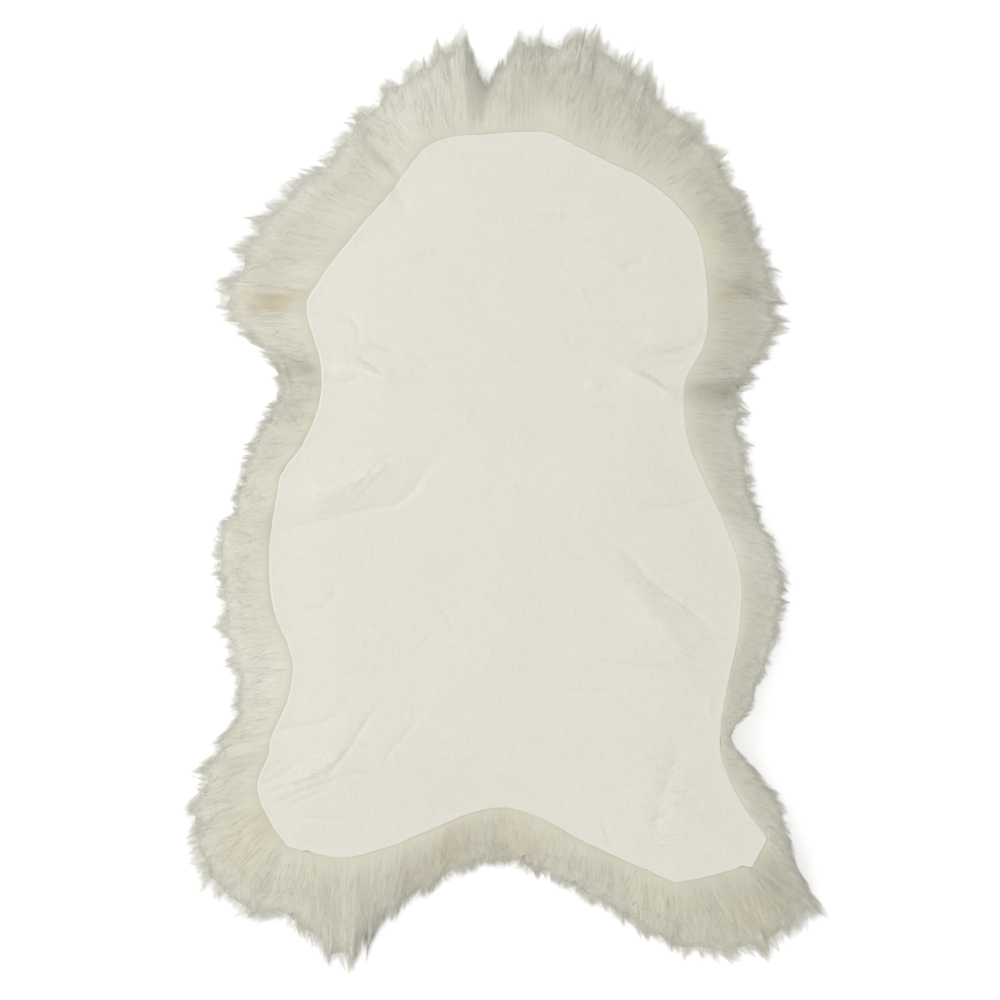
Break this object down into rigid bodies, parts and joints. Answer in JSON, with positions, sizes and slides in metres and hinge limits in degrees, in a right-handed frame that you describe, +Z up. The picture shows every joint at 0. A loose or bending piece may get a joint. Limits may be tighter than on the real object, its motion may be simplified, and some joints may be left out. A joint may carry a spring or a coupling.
{
  "type": "sheepskin rug",
  "caption": "Long-wool sheepskin rug lying leather side up: an irregular cream hide over a thick white fleece that spreads past its cut edge.",
  "frame": {"origin": "on the floor, under the middle of the rug's box", "axes": "+X across the rug, +Y from the hind legs to the neck, +Z up, from the wool to the leather"},
  "size_m": [0.739, 1.1016, 0.0566],
  "materials": {
    "leather": "matte",
    "wool": "long soft pile"
  },
  "bodies": {
    "root": {"hide": "leather", "fleece": "wool"}
  },
  "joints": []
}
